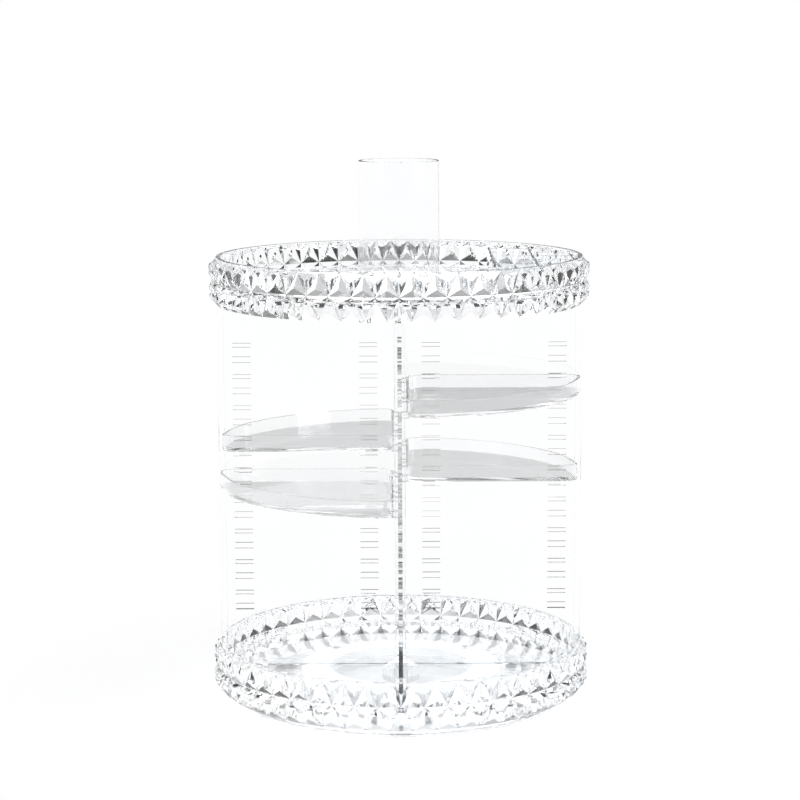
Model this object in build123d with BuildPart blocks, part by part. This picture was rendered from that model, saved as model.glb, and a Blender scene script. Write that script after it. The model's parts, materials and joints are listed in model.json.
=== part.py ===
"""Rotating makeup organizer.

A base plate on rubber feet carries a ball bearing. On it turns a round tray with a
diamond-faceted rim, and four upright panels stand in that tray as a cross. Quarter-round
shelves hook into slots in the panels, one in each quarter, and a second faceted tray with
a brush cup in its middle sits on top.

The origin is the middle of the underside of the feet. +Z is up and the front is -Y.
All sizes are in millimetres.
"""

from build123d import *
from math import cos, pi, radians, sin
import os

# Diamond-faceted rims, the same on both trays
diamond_count = 52              # diamonds around the rim
lower_row_height = 15.0         # lower row of facets
upper_row_height = 13.2         # upper row of facets
rim_edge_radius = 115.5         # corners of the rim's top and bottom edges
star_point_height = 2.5         # points between the rows, out from the edge corners
facet_tip_height = 4.5          # tips of the three-sided points, out from the edge corners
rim_wall_thickness = 3.2        # from the rim's edge corners to the bowl
lip_band_height = 1.0           # plain band above the facets

# Tray floors
lower_floor_thickness = 3.0
top_floor_thickness = 2.5
top_recess_depth = 8.75         # rim's bottom edge to the top tray's floor
floor_corner_radius = 1.5       # rounding between floor and rim

# Base plate and feet
base_inset_gap = 7.3            # plate's edge inside the line of the bowl
base_thickness = 3.0
base_edge_height = 0.8          # chamfer of the plate's edge
rim_running_gap = 4.8           # from the plate to the lower rim
foot_count = 6
foot_radius = 7.0
foot_height = 2.0
foot_recess_depth = 0.8         # how far a pad is let into the plate
foot_edge_gap = 10.0            # pad to the plate's edge
foot_chamfer_height = 0.5
foot_fit = 0.1

# Ball bearing
ball_count = 12
ball_diameter = 5.0
ball_circle_radius = 55.0       # circle of the balls' middles
ball_clearance = 0.1
groove_depth = 1.3
groove_floor_thickness = 3.8    # race left under its groove
race_width = 18.0
cage_thickness = 1.6
cage_wall_thickness = 1.2       # cage left beside a ball's hole
race_ledge_width = 1.6          # ring on the plate that centres the lower race
race_ledge_height = 1.0
race_ledge_fit = 0.1

# Countersunk screws of the two races
race_screw_count = 4
race_screw_angle = 45.0
race_screw_edge_gap = 3.5       # screw's middle to the race's outer edge
race_screw_radius = 1.25
race_screw_head_radius = 2.6
race_screw_end_gap = 0.8        # race left beyond a screw's point
screw_fit = 0.05

# Pivot in the middle
pivot_screw_radius = 2.0
pivot_head_radius = 4.0
pivot_head_height = 2.2
pivot_head_edge_radius = 0.8
driver_cross_length = 4.4
driver_cross_width = 1.0
driver_cross_depth = 1.2
pivot_nut_width = 7.0           # across flats
pivot_nut_height = 2.8
pivot_fit = 0.15                # screw in its bush and washer
pivot_thread_fit = 0.05         # screw in its nut
bush_wall_thickness = 2.35
bush_running_fit = 0.08         # bush in the tray's hub
boss_flange_width = 4.5         # boss of the plate, out from the bush
boss_height = 3.2
washer_flange_width = 3.5       # washer, out from the bush
washer_thickness = 0.8
washer_recess_fit = 1.0
hub_wall_thickness = 3.0        # tray's hub around the washer's recess
hub_boss_gap = 0.6
hub_lift_gap = 0.5              # free lift of the tray below the washer
head_recess_depth = 0.1         # screw head below the tray's floor

# Upright panels
panel_height = 244.0
panel_web_thickness = 2.5
panel_axis_gap = 0.75           # inner edge of a panel to its neighbours' faces
flange_width = 6.5
flange_thickness = 2.5
flange_edge_radius = 0.6
flange_rim_gap = 0.3            # a flange's outer part to the rims above and below
socket_wall_thickness = 1.2     # rim left outside a flange
socket_fit = 0.1
guide_rib_thickness = 1.4       # ribs on the trays that hold the web
guide_rib_height = 4.0
guide_rib_start_radius = 20.0
guide_rib_end_gap = 12.3        # end of a rib to the bowl's wall

# Shelf slots in the panels
notch_count = 9
notch_step_height = 20.0        # from one shelf height to the next
first_notch_height = 38.4       # lower tray's floor to the first shelf height
lug_slot_height = 3.8
peg_slot_height = 2.6
slot_length = 11.5
outer_slot_gap = 5.75           # end of an outer slot to the flange

# Quarter-round shelves
shelf_rim_gap = 0.8             # round edge inside the flats of the rim
shelf_side_gap = 0.75           # side edge to the flange of a panel
shelf_floor_thickness = 2.5
shelf_wall_thickness = 1.8
shelf_height = 10.4
shelf_outer_corner_radius = 8.0
shelf_inner_corner_radius = 10.0
shelf_edge_radius = 1.2         # rounding of the underside
lug_length = 8.0
lug_fit = 0.1                   # lug and peg in their slots
lug_end_gap = 0.25              # lug to the inner end of its slot
lug_tip_gap = 0.15              # lug's tip to the middle plane of the panel
lug_corner_gap = 0.3            # inner lug to the rounding of the shelf's corner

# Angle of each shelf's quarter, and the slot that it hangs in, from the lowest
shelf_places = {
    "shelf_front_left": (180, 4),
    "shelf_front_right": (270, 7),
    "shelf_rear_left": (90, 5),
    "shelf_rear_right": (0, 4),
}

# Top tray
tray_seat_gap = 0.05            # panels to the tray's underside
cell_wall_thickness = 1.6
cell_wall_drop_height = 1.0     # walls end this far below the lip
lipstick_rows = 4
lipstick_cell_width = 26.0
lipstick_rim_gap = 2.3          # two columns of cells to the bowl's wall
cup_ring_wall_thickness = 1.8
cup_ring_height = 6.0
cup_ring_fit = 0.2

# Brush cup
cup_radius = 25.3
cup_height = 77.3
cup_wall_thickness = 1.6
cup_floor_thickness = 2.2
cup_foot_edge_radius = 1.5
cup_lip_edge_radius = 0.5
cup_seat_gap = 0.1

# Heights of the base and the bearing, from the ground up
base_bottom = foot_height - foot_recess_depth
base_top = base_bottom + base_thickness
race_thickness = groove_depth + groove_floor_thickness
race_gap = ball_diameter + 2 * ball_clearance - 2 * groove_depth
ball_level = base_top + race_thickness + race_gap / 2
upper_race_bottom = ball_level + race_gap / 2
lower_floor_bottom = upper_race_bottom + race_thickness
lower_floor_top = lower_floor_bottom + lower_floor_thickness

# Heights of the pivot
boss_top = base_top + boss_height
hub_bottom = boss_top + hub_boss_gap
washer_top = lower_floor_top - head_recess_depth - pivot_head_height
washer_bottom = washer_top - washer_thickness
hub_top = washer_bottom - hub_lift_gap

# Heights of the trays, the cup and the slots
facets_height = lower_row_height + upper_row_height
lower_rim_bottom = base_top + rim_running_gap
lower_lip = lower_rim_bottom + facets_height + lip_band_height
top_floor_bottom = lower_floor_top + panel_height + tray_seat_gap
top_floor_top = top_floor_bottom + top_floor_thickness
top_rim_bottom = top_floor_bottom - top_recess_depth
top_lip = top_rim_bottom + facets_height + lip_band_height
cup_bottom = top_floor_top + cup_seat_gap
first_slot = lower_floor_top + first_notch_height
middle_slot = first_slot + (notch_count - 1) * notch_step_height / 2

# Radii of the rims, the base and the bearing
star_point_radius = rim_edge_radius + star_point_height
facet_tip_radius = rim_edge_radius + facet_tip_height
bowl_radius = rim_edge_radius - rim_wall_thickness
rim_flat_radius = rim_edge_radius * cos(pi / diamond_count)
base_radius = bowl_radius - base_inset_gap
foot_circle_radius = base_radius - foot_edge_gap - foot_radius
groove_radius = ball_diameter / 2 + ball_clearance
race_outer_radius = ball_circle_radius + race_width / 2
race_inner_radius = ball_circle_radius - race_width / 2
race_screw_circle_radius = race_outer_radius - race_screw_edge_gap
bush_radius = pivot_screw_radius + pivot_fit + bush_wall_thickness
washer_radius = bush_radius + washer_flange_width
washer_recess_radius = washer_radius + washer_recess_fit

# Panels, slots, shelves and lugs
web_half = panel_web_thickness / 2
panel_inner_radius = web_half + panel_axis_gap
flange_radius = rim_flat_radius - socket_wall_thickness - socket_fit
flange_inner_radius = flange_radius - flange_thickness
shelf_radius = rim_flat_radius - shelf_rim_gap
shelf_side = flange_width / 2 + shelf_side_gap
inner_slot_start = shelf_side + shelf_inner_corner_radius + lug_corner_gap - lug_end_gap
inner_slot_radius = inner_slot_start + slot_length / 2
outer_slot_radius = flange_inner_radius - outer_slot_gap - slot_length / 2
lug_height = lug_slot_height - 2 * lug_fit
peg_height = peg_slot_height - 2 * lug_fit
peg_level = shelf_height - peg_height / 2

# Screws of the races
race_screw_bite_length = race_thickness - race_screw_end_gap
race_screw_taper = race_screw_head_radius - race_screw_radius

# The underside of the base plate, facing down
underside = Plane(origin=(0, 0, base_bottom), z_dir=(0, 0, -1))

UP = (Align.CENTER, Align.CENTER, Align.MIN)


def rim_point(radius, unit, height):
    """A corner of the rim's facets, placed in diamonds around the axis."""
    angle = 2 * pi * unit / diamond_count
    return Vector(radius * cos(angle), radius * sin(angle), height)


def three_sided_point(corners):
    """Three facets that rise from a triangle of the rim to one tip."""
    middle = (corners[0] + corners[1] + corners[2]) / 3
    outward = Vector(middle.X, middle.Y, 0).normalized()
    tip = outward * facet_tip_radius + Vector(0, 0, middle.Z)
    sides = zip(corners, corners[1:] + corners[:1])
    return [Face(Wire.make_polygon([start, end, tip])) for start, end in sides]


def faceted_drum(bottom):
    """A closed drum whose side is two rows of three-sided points."""
    middle = bottom + lower_row_height
    top = bottom + facets_height
    facets = []
    for unit in range(diamond_count):
        star_here = rim_point(star_point_radius, unit, middle)
        star_after = rim_point(star_point_radius, unit + 1, middle)
        for edge in (bottom, top):
            edge_before = rim_point(rim_edge_radius, unit - 0.5, edge)
            edge_after = rim_point(rim_edge_radius, unit + 0.5, edge)
            facets += three_sided_point([edge_before, edge_after, star_here])
            facets += three_sided_point([star_here, star_after, edge_after])
    for edge in (bottom, top):
        outline = [rim_point(rim_edge_radius, unit + 0.5, edge) for unit in range(diamond_count)]
        facets.append(Face(Wire.make_polygon(outline)))
    return Solid(Shell(facets))


def add_tray_body(rim_bottom, floor_bottom, floor_top):
    """Rim, lip band and floor of a tray, in the part that is being built."""
    band_bottom = rim_bottom + facets_height
    lip = band_bottom + lip_band_height
    with BuildSketch(Plane.XY.offset(band_bottom)) as band:
        Circle(rim_flat_radius)
    with BuildSketch(Plane.XY.offset(floor_top)) as bowl:
        Circle(bowl_radius)
    with BuildSketch(Plane.XY.offset(rim_bottom)) as recess:
        Circle(bowl_radius)
    add(faceted_drum(rim_bottom))
    extrude(band.sketch, amount=lip_band_height)
    extrude(bowl.sketch, amount=lip - floor_top, mode=Mode.SUBTRACT)
    extrude(recess.sketch, amount=floor_bottom - rim_bottom, mode=Mode.SUBTRACT)


def cut_flange_sockets(bottom, top):
    """Grooves in the rim's inner wall that take the panels' flanges."""
    inner = min(bowl_radius - floor_corner_radius, flange_inner_radius) - socket_fit
    outer = flange_radius + socket_fit
    with BuildSketch(Plane.XY.offset(bottom)) as sockets:
        with PolarLocations((inner + outer) / 2, 4):
            Rectangle(outer - inner, flange_width + 2 * socket_fit)
    extrude(sockets.sketch, amount=top - bottom, mode=Mode.SUBTRACT)


def add_guide_ribs(level, height):
    """Pairs of ribs that hold the web of each panel."""
    aside = web_half + socket_fit + guide_rib_thickness / 2
    length = bowl_radius - guide_rib_end_gap - guide_rib_start_radius
    with BuildSketch(Plane.XY.offset(level)) as ribs:
        with PolarLocations(guide_rib_start_radius + length / 2, 4):
            with Locations((0, aside), (0, -aside)):
                Rectangle(length, guide_rib_thickness)
    extrude(ribs.sketch, amount=height)


# Foot pads
with BuildPart() as foot_pads:
    with BuildSketch():
        with PolarLocations(foot_circle_radius, foot_count, start_angle=180 / foot_count):
            Circle(foot_radius)
    extrude(amount=foot_height)
    chamfer(foot_pads.edges().group_by(Axis.Z)[0], length=foot_chamfer_height)

# Base plate
with BuildPart() as base_plate:
    with BuildSketch(Plane.XY.offset(base_bottom)):
        Circle(base_radius)
    extrude(amount=base_thickness)
    chamfer(base_plate.edges(), length=base_edge_height)
    with BuildSketch(Plane.XY.offset(base_top)):
        Circle(race_outer_radius + race_ledge_fit + race_ledge_width)
        Circle(race_outer_radius + race_ledge_fit, mode=Mode.SUBTRACT)
    extrude(amount=race_ledge_height)
    with BuildSketch(Plane.XY.offset(base_top)):
        Circle(bush_radius + boss_flange_width)
    extrude(amount=boss_height)
    with BuildSketch(Plane.XY.offset(base_bottom)):
        with PolarLocations(foot_circle_radius, foot_count, start_angle=180 / foot_count):
            Circle(foot_radius + foot_fit)
    extrude(amount=foot_recess_depth, mode=Mode.SUBTRACT)
    with BuildSketch(Plane.XY.offset(base_bottom)):
        RegularPolygon(pivot_nut_width / 2 + screw_fit, 6, major_radius=False)
    extrude(amount=pivot_nut_height + screw_fit, mode=Mode.SUBTRACT)
    with Locations((0, 0, boss_top)):
        Hole(pivot_screw_radius + pivot_fit)
    with Locations(underside):
        with PolarLocations(race_screw_circle_radius, race_screw_count, race_screw_angle):
            CounterSinkHole(
                race_screw_radius + screw_fit,
                race_screw_head_radius + screw_fit,
                counter_sink_angle=90,
            )

# Lower race, grooved on top
with BuildPart() as lower_race:
    with BuildSketch(Plane.XY.offset(base_top)):
        Circle(race_outer_radius)
        Circle(race_inner_radius, mode=Mode.SUBTRACT)
    extrude(amount=race_thickness)
    with BuildSketch(Plane.XZ):
        with Locations((ball_circle_radius, ball_level)):
            Circle(groove_radius)
    revolve(axis=Axis.Z, mode=Mode.SUBTRACT)
    with Locations(Plane(origin=(0, 0, base_top), z_dir=(0, 0, -1))):
        with PolarLocations(race_screw_circle_radius, race_screw_count, race_screw_angle):
            Hole(race_screw_radius + screw_fit, depth=race_screw_bite_length + screw_fit)

# Upper race, grooved below
with BuildPart() as upper_race:
    with BuildSketch(Plane.XY.offset(upper_race_bottom)):
        Circle(race_outer_radius)
        Circle(race_inner_radius, mode=Mode.SUBTRACT)
    extrude(amount=race_thickness)
    with BuildSketch(Plane.XZ):
        with Locations((ball_circle_radius, ball_level)):
            Circle(groove_radius)
    revolve(axis=Axis.Z, mode=Mode.SUBTRACT)
    with Locations((0, 0, lower_floor_bottom)):
        with PolarLocations(race_screw_circle_radius, race_screw_count, race_screw_angle):
            Hole(race_screw_radius + screw_fit, depth=race_screw_bite_length + screw_fit)

# Balls and the cage that spaces them
with BuildPart(Plane.XY.offset(ball_level)) as bearing_balls:
    with PolarLocations(ball_circle_radius, ball_count):
        Sphere(ball_diameter / 2)

with BuildPart() as ball_cage:
    with BuildSketch(Plane.XY.offset(ball_level - cage_thickness / 2)):
        Circle(ball_circle_radius + groove_radius + cage_wall_thickness)
        Circle(ball_circle_radius - groove_radius - cage_wall_thickness, mode=Mode.SUBTRACT)
        with PolarLocations(ball_circle_radius, ball_count):
            Circle(groove_radius, mode=Mode.SUBTRACT)
    extrude(amount=cage_thickness)

# Countersunk screws, heads outward and points in the races
with BuildPart(Plane.XY.offset(base_bottom)) as lower_race_screws:
    with PolarLocations(race_screw_circle_radius, race_screw_count, -race_screw_angle):
        Cone(race_screw_head_radius, race_screw_radius, race_screw_taper, align=UP)
        Cylinder(race_screw_radius, base_thickness + race_screw_bite_length, align=UP)

with BuildPart(Plane(origin=(0, 0, lower_floor_top), z_dir=(0, 0, -1))) as upper_race_screws:
    with PolarLocations(race_screw_circle_radius, race_screw_count, race_screw_angle):
        Cone(race_screw_head_radius, race_screw_radius, race_screw_taper, align=UP)
        Cylinder(race_screw_radius, lower_floor_thickness + race_screw_bite_length, align=UP)

# Pivot: bush, washer, nut and screw
with BuildPart(Plane.XY.offset(boss_top)) as pivot_bush:
    Cylinder(bush_radius, washer_bottom - boss_top, align=UP)
    Cylinder(
        pivot_screw_radius + pivot_fit,
        washer_bottom - boss_top,
        align=UP,
        mode=Mode.SUBTRACT,
    )

with BuildPart(Plane.XY.offset(washer_bottom)) as pivot_washer:
    Cylinder(washer_radius, washer_thickness, align=UP)
    Cylinder(
        pivot_screw_radius + pivot_fit,
        washer_thickness,
        align=UP,
        mode=Mode.SUBTRACT,
    )

with BuildPart() as pivot_nut:
    with BuildSketch(Plane.XY.offset(base_bottom)):
        RegularPolygon(pivot_nut_width / 2, 6, major_radius=False)
        Circle(pivot_screw_radius + pivot_thread_fit, mode=Mode.SUBTRACT)
    extrude(amount=pivot_nut_height)

with BuildPart(Plane.XY.offset(base_bottom)) as pivot_screw:
    Cylinder(pivot_screw_radius, washer_top - base_bottom, align=UP)
    with Locations((0, 0, washer_top - base_bottom)):
        Cylinder(pivot_head_radius, pivot_head_height, align=UP)
    fillet(pivot_screw.edges().group_by(Axis.Z)[-1], radius=pivot_head_edge_radius)
    with BuildSketch(Plane.XY.offset(washer_top + pivot_head_height)):
        with PolarLocations(0, 2, angular_range=180):
            Rectangle(driver_cross_length, driver_cross_width)
    extrude(amount=-driver_cross_depth, mode=Mode.SUBTRACT)

# Lower tray
with BuildPart() as lower_tray:
    add_tray_body(lower_rim_bottom, lower_floor_bottom, lower_floor_top)
    bowl_corner = lower_tray.edges().filter_by(GeomType.CIRCLE)
    bowl_corner = bowl_corner.filter_by_position(Axis.Z, lower_floor_top, lower_floor_top)
    fillet(bowl_corner, radius=floor_corner_radius)
    with BuildSketch(Plane.XY.offset(hub_bottom)):
        Circle(washer_recess_radius + hub_wall_thickness)
    extrude(amount=lower_floor_bottom - hub_bottom)
    with BuildSketch(Plane.XY.offset(hub_top)):
        Circle(washer_recess_radius)
    extrude(amount=lower_floor_top - hub_top, mode=Mode.SUBTRACT)
    with Locations((0, 0, hub_top)):
        Hole(bush_radius + bush_running_fit)
    with Locations((0, 0, lower_floor_top)):
        with PolarLocations(race_screw_circle_radius, race_screw_count, race_screw_angle):
            CounterSinkHole(
                race_screw_radius + screw_fit,
                race_screw_head_radius + screw_fit,
                depth=lower_floor_thickness,
                counter_sink_angle=90,
            )
    cut_flange_sockets(lower_floor_top, lower_lip)
    add_guide_ribs(lower_floor_top, guide_rib_height)


def make_panel(label, angle):
    """One panel of the cross: web, outer flange and a ladder of slots."""
    outward = (cos(radians(angle)), sin(radians(angle)), 0)
    sideways = (outward[1], -outward[0], 0)
    plane = Plane(origin=(0, 0, 0), x_dir=outward, z_dir=sideways)
    middle = lower_floor_top + panel_height / 2
    with BuildPart() as panel:
        with BuildSketch(plane):
            with Locations(((flange_inner_radius + panel_inner_radius) / 2, middle)):
                Rectangle(flange_inner_radius - panel_inner_radius, panel_height)
        extrude(amount=web_half, both=True)
        with BuildSketch(plane):
            with Locations((flange_radius - flange_thickness / 2, middle)):
                Rectangle(flange_thickness, panel_height)
        extrude(amount=flange_width / 2, both=True)
        with BuildSketch(plane):
            with Locations(((flange_radius + rim_flat_radius) / 2, (lower_lip + top_rim_bottom) / 2)):
                between_rims = top_rim_bottom - lower_lip - 2 * flange_rim_gap
                Rectangle(rim_flat_radius - flange_radius, between_rims)
        extrude(amount=flange_width / 2, both=True)
        upright = panel.edges().filter_by(Axis.Z)
        outermost = upright.sort_by(lambda edge: edge.center().dot(Vector(*outward)))[-2:]
        fillet(outermost, radius=flange_edge_radius)
        with BuildSketch(plane):
            with Locations(((outer_slot_radius + inner_slot_radius) / 2, middle_slot)):
                columns = outer_slot_radius - inner_slot_radius
                with GridLocations(columns, notch_step_height, 2, notch_count):
                    Rectangle(slot_length, lug_slot_height)
                    with Locations((0, peg_level)):
                        Rectangle(slot_length, peg_slot_height)
        extrude(amount=web_half, both=True, mode=Mode.SUBTRACT)
    panel.part.label = label
    return panel.part


panels = [
    make_panel("divider_right", 0),
    make_panel("divider_back", 90),
    make_panel("divider_left", 180),
    make_panel("divider_front", 270),
]


def quarter_outline(inset):
    """Quarter-round outline of a shelf, drawn in the +X +Y quarter."""
    near = shelf_side + inset
    Circle(shelf_radius - inset)
    with Locations((near, near)):
        Rectangle(shelf_radius, shelf_radius, align=(Align.MIN, Align.MIN), mode=Mode.INTERSECT)


def make_shelf(label, angle, notch):
    """One quarter-round shelf with its lip, lugs and pegs."""
    level = first_slot + notch * notch_step_height
    turned = Plane.XY.offset(level).rotated((0, 0, angle))
    lug_reach = shelf_side + shelf_wall_thickness - lug_tip_gap
    across = lug_tip_gap + lug_reach / 2
    lug_shift = lug_end_gap - slot_length / 2 + lug_length / 2
    with BuildPart() as shelf:
        with BuildSketch(turned) as outline:
            quarter_outline(0)
            corners = outline.vertices().sort_by_distance(turned.origin)
            fillet(corners[0], radius=shelf_inner_corner_radius)
            corners = outline.vertices().sort_by_distance(turned.origin)
            fillet(corners[-2:], radius=shelf_outer_corner_radius)
        extrude(amount=shelf_height)
        fillet(shelf.faces().sort_by(Axis.Z)[0].edges(), radius=shelf_edge_radius)
        with BuildSketch(turned.offset(shelf_floor_thickness)) as hollow:
            quarter_outline(shelf_wall_thickness)
            corners = hollow.vertices().sort_by_distance(turned.origin)
            fillet(corners[0], radius=shelf_inner_corner_radius - shelf_wall_thickness)
            corners = hollow.vertices().sort_by_distance(turned.origin)
            fillet(corners[-2:], radius=shelf_outer_corner_radius - shelf_wall_thickness)
        extrude(amount=shelf_height - shelf_floor_thickness, mode=Mode.SUBTRACT)
        for centre, height in ((0, lug_height), (peg_level, peg_height)):
            with BuildSketch(turned.offset(centre - height / 2)):
                for slot_radius in (inner_slot_radius, outer_slot_radius):
                    along = slot_radius + lug_shift
                    with Locations((across, along)):
                        Rectangle(lug_reach, lug_length)
                    with Locations((along, across)):
                        Rectangle(lug_length, lug_reach)
            extrude(amount=height)
    shelf.part.label = label
    return shelf.part


shelves = [make_shelf(label, angle, notch) for label, (angle, notch) in shelf_places.items()]

# Top tray, with two columns of lipstick cells on its right and a ring for the cup
with BuildPart() as top_tray:
    add_tray_body(top_rim_bottom, top_floor_bottom, top_floor_top)
    bowl_corner = top_tray.edges().filter_by(GeomType.CIRCLE)
    bowl_corner = bowl_corner.filter_by_position(Axis.Z, top_floor_top, top_floor_top)
    fillet(bowl_corner, radius=floor_corner_radius)
    cut_flange_sockets(top_rim_bottom, top_floor_bottom)
    add_guide_ribs(top_floor_bottom, -guide_rib_height)
    with BuildSketch(Plane.XY.offset(top_floor_top)):
        inner_wall_x = bowl_radius - lipstick_rim_gap - 2 * lipstick_cell_width
        middle_wall_x = inner_wall_x + lipstick_cell_width
        outer_wall_x = middle_wall_x + lipstick_cell_width - cell_wall_thickness
        grid_depth = lipstick_rows * lipstick_cell_width
        with Locations((inner_wall_x, 0)):
            Rectangle(cell_wall_thickness, grid_depth + cell_wall_thickness)
        with Locations((middle_wall_x, 0), (outer_wall_x, 0)):
            Rectangle(cell_wall_thickness, 2 * bowl_radius)
        with Locations(((inner_wall_x + bowl_radius) / 2, 0)):
            with GridLocations(1, lipstick_cell_width, 1, lipstick_rows + 1):
                Rectangle(bowl_radius - inner_wall_x, cell_wall_thickness)
        Circle(bowl_radius + rim_wall_thickness / 2, mode=Mode.INTERSECT)
    extrude(amount=top_lip - cell_wall_drop_height - top_floor_top)
    with BuildSketch(Plane.XY.offset(top_floor_top)):
        Circle(cup_radius + cup_ring_fit + cup_ring_wall_thickness)
        Circle(cup_radius + cup_ring_fit, mode=Mode.SUBTRACT)
    extrude(amount=cup_ring_height)

# Brush cup
with BuildPart(Plane.XY.offset(cup_bottom)) as brush_cup:
    Cylinder(cup_radius, cup_height, align=UP)
    fillet(brush_cup.edges().group_by(Axis.Z)[0], radius=cup_foot_edge_radius)
    with BuildSketch(Plane.XY.offset(cup_bottom + cup_floor_thickness)):
        Circle(cup_radius - cup_wall_thickness)
    extrude(amount=cup_height - cup_floor_thickness, mode=Mode.SUBTRACT)
    fillet(brush_cup.edges().group_by(Axis.Z)[-1], radius=cup_lip_edge_radius)

foot_pads.part.label = "foot_pads"
base_plate.part.label = "base_plate"
lower_race.part.label = "lower_race"
lower_race_screws.part.label = "lower_race_screws"
bearing_balls.part.label = "bearing_balls"
ball_cage.part.label = "ball_cage"
upper_race.part.label = "upper_race"
upper_race_screws.part.label = "upper_race_screws"
pivot_bush.part.label = "pivot_bush"
pivot_washer.part.label = "pivot_washer"
pivot_nut.part.label = "pivot_nut"
pivot_screw.part.label = "pivot_screw"
lower_tray.part.label = "lower_tray"
top_tray.part.label = "top_tray"
brush_cup.part.label = "brush_cup"

os.makedirs("parts", exist_ok=True)
turned_parts = [foot_pads, base_plate, lower_race, lower_race_screws, bearing_balls, ball_cage]
turned_parts += [upper_race, upper_race_screws, pivot_bush, pivot_washer, pivot_nut]
turned_parts += [pivot_screw, lower_tray, top_tray, brush_cup]
pieces = [builder.part for builder in turned_parts] + panels + shelves
for piece in pieces:
    export_step(piece, "parts/" + piece.label + ".step")
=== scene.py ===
"""Rotating makeup organizer: finish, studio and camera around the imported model."""

import json
import math

import bpy
from mathutils import Matrix, Vector


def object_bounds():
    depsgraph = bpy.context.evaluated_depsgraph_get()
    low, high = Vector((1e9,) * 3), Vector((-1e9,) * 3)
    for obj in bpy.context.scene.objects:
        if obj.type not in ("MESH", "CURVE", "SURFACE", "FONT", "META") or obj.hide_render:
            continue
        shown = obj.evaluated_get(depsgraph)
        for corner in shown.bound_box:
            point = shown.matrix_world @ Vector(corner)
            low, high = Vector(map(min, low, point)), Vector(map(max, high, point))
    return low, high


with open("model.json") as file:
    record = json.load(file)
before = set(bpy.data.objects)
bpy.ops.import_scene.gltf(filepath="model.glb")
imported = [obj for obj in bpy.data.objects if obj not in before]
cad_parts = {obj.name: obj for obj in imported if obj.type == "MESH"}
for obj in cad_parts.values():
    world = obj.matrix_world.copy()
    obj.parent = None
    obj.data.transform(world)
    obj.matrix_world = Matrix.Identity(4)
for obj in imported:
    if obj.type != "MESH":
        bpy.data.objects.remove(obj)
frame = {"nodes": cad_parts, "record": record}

cad_low, cad_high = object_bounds()
scene = bpy.context.scene

# Camera, fitted to the photograph's perspective
LENS_MM = 108.0
SENSOR_MM = 36.0
CAMERA_DISTANCE = 1.507
CAMERA_HEIGHT = 0.424
CAMERA_SIDE = 0.0002
CAMERA_PITCH = math.radians(8.75)
CAMERA_ROLL = math.radians(-0.264)
CAMERA_NEAR_CLIP = 0.05

# Clear plastic. Noise scales are per metre
POLYSTYRENE_IOR = 1.56
TINT_SCALE = 14.0
SCUFF_SCALE, SCUFF_DETAIL = 160.0, 6.0
SCUFF_STRETCH = (1.0, 1.0, 0.25)
FLOW_SCALE, FLOW_DETAIL = 45.0, 1.0
FLOW_STRETCH = (1.0, 1.0, 0.5)
MILK_SCALE, MILK_DETAIL = 30.0, 3.0
MILK_SPREAD = 0.08

# Opaque finishes
MOTTLE_SCALE, MOTTLE_DETAIL = 90.0, 4.0
GLOSS_SCALE, GLOSS_DETAIL = 300.0, 5.0
GRAIN_DETAIL = 3.0

# Where a colour ramp starts and ends on a noise factor, which stays near 0.5
RAMP_START, RAMP_END = 0.35, 0.65

# Floor, pale near the object to take its shadow and white further out
FLOOR_RADIUS = 6.0
FLOOR_EDGES = 96
FLOOR_COLOUR = (0.90, 0.90, 0.90, 1.0)
SHADOW_INNER = 0.14
SHADOW_OUTER = 0.30

# World level that clear plastic shows, by (1 + sine of the elevation) / 2: white at and below the
# horizon, then dark and pale bands that give the facets their contrast, and a pale ceiling
SURROUNDINGS = (
    (0.500, 1.00), (0.512, 1.00), (0.530, 0.10), (0.566, 0.06), (0.574, 0.42), (0.600, 0.42),
    (0.605, 0.05), (0.616, 0.05), (0.622, 0.60), (0.643, 0.60), (0.655, 0.02), (0.860, 0.02),
    (0.920, 0.80),
)
WORLD_LIGHT = 0.55

# Lamps: name, place, width and height, watts
LAMPS = (
    ("key", (-0.9, -1.1, 1.3), (0.9, 0.9), 16.0),
    ("fill", (1.3, -0.7, 0.7), (0.7, 1.0), 7.0),
    ("back", (0.3, 1.4, 1.1), (1.2, 0.6), 9.0),
)

# Bounces. Light runs far inside the panels and rims, and lower limits leave more of their edges black
REFRACTION_BOUNCES = 64
REFLECTION_BOUNCES = 32
SHADOW_SURFACES = 48


def new_material(name):
    """A material with an empty node tree: the material, its nodes, its links and its output node."""
    material = bpy.data.materials.new(name)
    material.use_nodes = True
    tree = material.node_tree
    tree.nodes.clear()
    return material, tree.nodes, tree.links, tree.nodes.new("ShaderNodeOutputMaterial")


def noise(nodes, links, scale, detail=2.0, stretch=(1.0, 1.0, 1.0)):
    """Noise in object space, with a stretch per axis. Gives its factor socket."""
    place = nodes.new("ShaderNodeTexCoord")
    mapping = nodes.new("ShaderNodeMapping")
    mapping.inputs["Scale"].default_value = stretch
    texture = nodes.new("ShaderNodeTexNoise")
    texture.inputs["Scale"].default_value = scale
    texture.inputs["Detail"].default_value = detail
    links.new(place.outputs["Object"], mapping.inputs["Vector"])
    links.new(mapping.outputs["Vector"], texture.inputs["Vector"])
    return texture.outputs["Fac"]


def ramp(nodes, links, factor, low, high):
    """A colour ramp between two colours, driven by a noise factor."""
    node = nodes.new("ShaderNodeValToRGB")
    stops = node.color_ramp.elements
    for stop, position, colour in zip(stops, (RAMP_START, RAMP_END), (low, high)):
        stop.position = position
        stop.color = (*colour, 1.0)
    links.new(factor, node.inputs["Fac"])
    return node.outputs["Color"]


def span(nodes, links, factor, low, high):
    """Maps a factor from 0..1 to low..high."""
    node = nodes.new("ShaderNodeMapRange")
    node.inputs["To Min"].default_value = low
    node.inputs["To Max"].default_value = high
    links.new(factor, node.inputs["Value"])
    return node.outputs["Result"]


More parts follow.
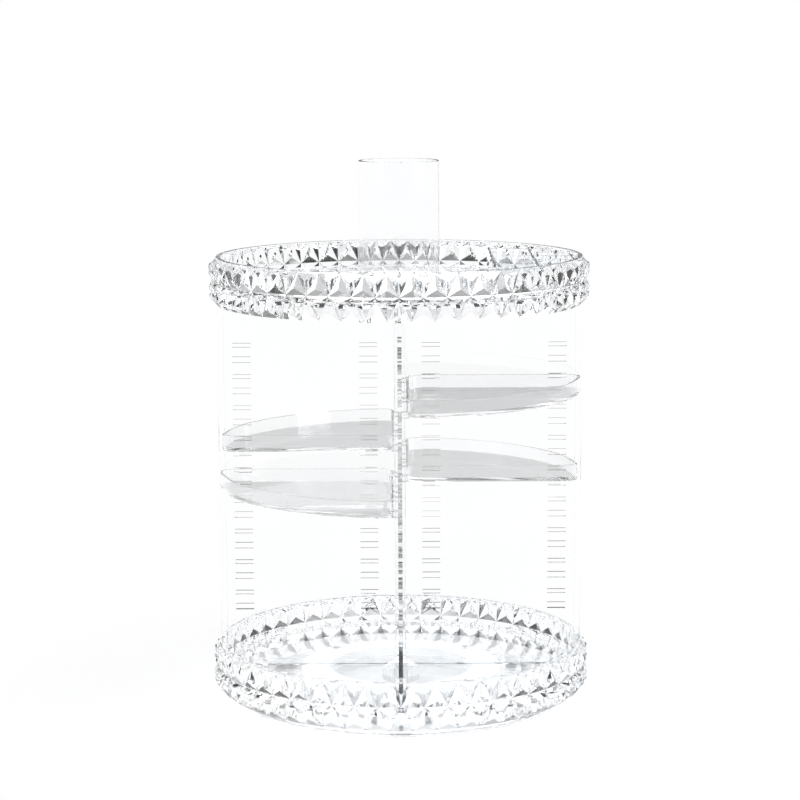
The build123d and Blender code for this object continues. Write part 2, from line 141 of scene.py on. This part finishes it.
def bump(nodes, links, height, distance):
    """The normal that a height socket gives, with its height in metres."""
    node = nodes.new("ShaderNodeBump")
    node.inputs["Strength"].default_value = 1.0
    node.inputs["Distance"].default_value = distance
    links.new(height, node.inputs["Height"])
    return node.outputs["Normal"]


def mix_shaders(nodes, links, factor, first, second):
    """A mix of two shader sockets. The factor is a socket, or None for half and half."""
    node = nodes.new("ShaderNodeMixShader")
    if factor:
        links.new(factor, node.inputs["Fac"])
    links.new(first, node.inputs[1])
    links.new(second, node.inputs[2])
    return node.outputs["Shader"]


def clear_plastic(name, light, deep, flow, rough, shade, milk=0.0):
    """Clear moulded plastic with flow waves, faint scuffs and a soft shadow. milk clouds it white."""
    material, nodes, links, output = new_material(name)
    shader = nodes.new("ShaderNodeBsdfPrincipled")
    shader.inputs["Transmission Weight"].default_value = 1.0
    shader.inputs["IOR"].default_value = POLYSTYRENE_IOR
    tint = ramp(nodes, links, noise(nodes, links, TINT_SCALE), light, deep)
    links.new(tint, shader.inputs["Base Color"])
    scuffs = noise(nodes, links, SCUFF_SCALE, SCUFF_DETAIL, SCUFF_STRETCH)
    links.new(span(nodes, links, scuffs, *rough), shader.inputs["Roughness"])
    waves = noise(nodes, links, FLOW_SCALE, FLOW_DETAIL, FLOW_STRETCH)
    links.new(bump(nodes, links, waves, flow), shader.inputs["Normal"])
    body = shader.outputs["BSDF"]
    if milk:
        cloud = nodes.new("ShaderNodeBsdfTranslucent")
        face = nodes.new("ShaderNodeBsdfDiffuse")
        for white in (cloud, face):
            links.new(tint, white.inputs["Color"])
        both = mix_shaders(nodes, links, None, cloud.outputs["BSDF"], face.outputs["BSDF"])
        depth = noise(nodes, links, MILK_SCALE, MILK_DETAIL)
        amount = span(nodes, links, depth, milk - MILK_SPREAD, milk + MILK_SPREAD)
        body = mix_shaders(nodes, links, amount, body, both)
    see_through = nodes.new("ShaderNodeBsdfTransparent")
    see_through.inputs["Color"].default_value = (*shade, 1.0)
    shadow_ray = nodes.new("ShaderNodeLightPath").outputs["Is Shadow Ray"]
    surface = mix_shaders(nodes, links, shadow_ray, body, see_through.outputs["BSDF"])
    links.new(surface, output.inputs["Surface"])
    return material


def solid_finish(name, low, high, metallic, rough, grain, grain_scale):
    """An opaque finish with mottled colour, uneven gloss and fine grain."""
    material, nodes, links, output = new_material(name)
    shader = nodes.new("ShaderNodeBsdfPrincipled")
    shader.inputs["Metallic"].default_value = metallic
    mottle = noise(nodes, links, MOTTLE_SCALE, MOTTLE_DETAIL)
    links.new(ramp(nodes, links, mottle, low, high), shader.inputs["Base Color"])
    gloss = noise(nodes, links, GLOSS_SCALE, GLOSS_DETAIL)
    links.new(span(nodes, links, gloss, *rough), shader.inputs["Roughness"])
    relief = bump(nodes, links, noise(nodes, links, grain_scale, GRAIN_DETAIL), grain)
    links.new(relief, shader.inputs["Normal"])
    links.new(shader.outputs["BSDF"], output.inputs["Surface"])
    return material


# Materials by the record's slots
materials = {
    "crystal_plastic": clear_plastic(
        "crystal_plastic", (0.990, 0.995, 1.0), (0.975, 0.985, 0.995),
        flow=0.00003, rough=(0.0, 0.03), shade=(0.975, 0.978, 0.98),
    ),
    "clear_plastic": clear_plastic(
        "clear_plastic", (0.995, 0.998, 1.0), (0.985, 0.992, 0.998),
        flow=0.00002, rough=(0.0, 0.05), shade=(0.985, 0.987, 0.99),
    ),
    "milky_plastic": clear_plastic(
        "milky_plastic", (0.97, 0.975, 0.98), (0.95, 0.955, 0.96),
        flow=0.00003, rough=(0.02, 0.08), shade=(0.95, 0.95, 0.95), milk=0.1,
    ),
    "race_plastic": clear_plastic(
        "race_plastic", (0.96, 0.965, 0.97), (0.93, 0.935, 0.94),
        flow=0.00003, rough=(0.15, 0.30), shade=(0.92, 0.92, 0.92), milk=0.72,
    ),
    "cage_plastic": clear_plastic(
        "cage_plastic", (0.96, 0.96, 0.95), (0.92, 0.92, 0.91),
        flow=0.00004, rough=(0.25, 0.40), shade=(0.90, 0.90, 0.90), milk=0.80,
    ),
    "ball_steel": solid_finish(
        "ball_steel", (0.72, 0.73, 0.75), (0.80, 0.81, 0.83), metallic=1.0,
        rough=(0.05, 0.12), grain=0.00001, grain_scale=1500.0,
    ),
    "screw_steel": solid_finish(
        "screw_steel", (0.62, 0.63, 0.65), (0.75, 0.76, 0.77), metallic=1.0,
        rough=(0.2, 0.38), grain=0.00003, grain_scale=1200.0,
    ),
    "rubber_black": solid_finish(
        "rubber_pad", (0.55, 0.57, 0.58), (0.66, 0.68, 0.69), metallic=0.0,
        rough=(0.55, 0.8), grain=0.00008, grain_scale=1800.0,
    ),
}

slots = {row["node"]: row["material_slot"] for row in frame["record"]["subparts"]}
for name, node in frame["nodes"].items():
    node.data.materials.clear()
    node.data.materials.append(materials[slots[name]])


def math_node(nodes, links, operation, first, second):
    """A math node of two inputs, each a socket or a number."""
    node = nodes.new("ShaderNodeMath")
    node.operation = operation
    for socket, value in zip(node.inputs, (first, second)):
        if isinstance(value, (int, float)):
            socket.default_value = value
        else:
            links.new(value, socket)
    return node.outputs["Value"]


def smooth_step(nodes, links, value, start, end):
    """0 below start, 1 above end, smooth between them."""
    node = nodes.new("ShaderNodeMapRange")
    node.interpolation_type = "SMOOTHSTEP"
    node.inputs["From Min"].default_value = start
    node.inputs["From Max"].default_value = end
    links.new(value, node.inputs["Value"])
    return node.outputs["Result"]


def in_view(nodes, links):
    """1 for camera, glossy and transmission rays that met no matt surface on their way, else 0."""
    ray = nodes.new("ShaderNodeLightPath")
    kinds = ray.outputs["Is Camera Ray"]
    for kind in ("Is Glossy Ray", "Is Transmission Ray"):
        kinds = math_node(nodes, links, "MAXIMUM", kinds, ray.outputs[kind])
    unmet = math_node(nodes, links, "LESS_THAN", ray.outputs["Diffuse Depth"], 0.5)
    return math_node(nodes, links, "MULTIPLY", kinds, unmet)


def white_light(nodes, kind, strength):
    """A white emission or background shader node."""
    node = nodes.new(kind)
    node.inputs["Color"].default_value = (1.0, 1.0, 1.0, 1.0)
    node.inputs["Strength"].default_value = strength
    return node


def make_floor():
    bpy.ops.mesh.primitive_circle_add(vertices=FLOOR_EDGES, radius=FLOOR_RADIUS, fill_type="NGON")
    floor = bpy.context.object
    floor.name = "studio_floor"
    material, nodes, links, output = new_material("studio_floor")
    diffuse = nodes.new("ShaderNodeBsdfDiffuse")
    diffuse.inputs["Color"].default_value = FLOOR_COLOUR
    white = white_light(nodes, "ShaderNodeEmission", 1.0)
    place = nodes.new("ShaderNodeTexCoord")
    length = nodes.new("ShaderNodeVectorMath")
    length.operation = "LENGTH"
    links.new(place.outputs["Object"], length.inputs[0])
    fade = smooth_step(nodes, links, length.outputs["Value"], SHADOW_INNER, SHADOW_OUTER)
    far = math_node(nodes, links, "MULTIPLY", fade, in_view(nodes, links))
    surface = mix_shaders(nodes, links, far, diffuse.outputs["BSDF"], white.outputs["Emission"])
    links.new(surface, output.inputs["Surface"])
    floor.data.materials.append(material)


def make_world():
    """White to the camera, SURROUNDINGS to clear plastic, and a plain light to matt surfaces."""
    world = bpy.data.worlds.new("studio")
    scene.world = world
    world.use_nodes = True
    nodes, links = world.node_tree.nodes, world.node_tree.links
    nodes.clear()
    output = nodes.new("ShaderNodeOutputWorld")
    place = nodes.new("ShaderNodeTexCoord")
    split = nodes.new("ShaderNodeSeparateXYZ")
    links.new(place.outputs["Generated"], split.inputs["Vector"])
    height = nodes.new("ShaderNodeMapRange")
    height.inputs["From Min"].default_value = -1.0
    links.new(split.outputs["Z"], height.inputs["Value"])
    bands = nodes.new("ShaderNodeValToRGB")
    stops = bands.color_ramp.elements
    while len(stops) < len(SURROUNDINGS):
        stops.new(0.5)
    for stop, (position, level) in zip(stops, SURROUNDINGS):
        stop.position = position
        stop.color = (level, level, level, 1.0)
    links.new(height.outputs["Result"], bands.inputs["Fac"])
    camera_ray = nodes.new("ShaderNodeLightPath").outputs["Is Camera Ray"]
    strength = math_node(nodes, links, "MAXIMUM", bands.outputs["Color"], camera_ray)
    seen = white_light(nodes, "ShaderNodeBackground", 1.0)
    links.new(strength, seen.inputs["Strength"])
    light = white_light(nodes, "ShaderNodeBackground", WORLD_LIGHT)
    surface = mix_shaders(
        nodes, links, in_view(nodes, links), light.outputs["Background"], seen.outputs["Background"]
    )
    links.new(surface, output.inputs["Surface"])


def area_light(name, at, size, watts, towards):
    data = bpy.data.lights.new(name, "AREA")
    data.shape = "RECTANGLE"
    data.size, data.size_y = size
    data.energy = watts
    lamp = bpy.data.objects.new(name, data)
    lamp.location = at
    lamp.rotation_euler = (Vector(towards) - Vector(at)).to_track_quat("-Z", "Y").to_euler()
    scene.collection.objects.link(lamp)


def make_camera():
    data = bpy.data.cameras.new("camera")
    data.lens = LENS_MM
    data.sensor_width = SENSOR_MM
    data.clip_start = CAMERA_NEAR_CLIP
    camera = bpy.data.objects.new("camera", data)
    place = Matrix.Translation((CAMERA_SIDE, -CAMERA_DISTANCE, CAMERA_HEIGHT))
    pitch = Matrix.Rotation(math.pi / 2 - CAMERA_PITCH, 4, "X")
    roll = Matrix.Rotation(CAMERA_ROLL, 4, "Z")
    camera.matrix_world = place @ pitch @ roll
    scene.collection.objects.link(camera)
    scene.camera = camera


make_floor()
make_world()
middle = (cad_low + cad_high) / 2
for name, at, size, watts in LAMPS:
    area_light(name, at, size, watts, middle)
make_camera()

scene.view_settings.view_transform = "Standard"
scene.cycles.max_bounces = REFRACTION_BOUNCES
scene.cycles.transmission_bounces = REFRACTION_BOUNCES
scene.cycles.glossy_bounces = REFLECTION_BOUNCES
scene.cycles.transparent_max_bounces = SHADOW_SURFACES
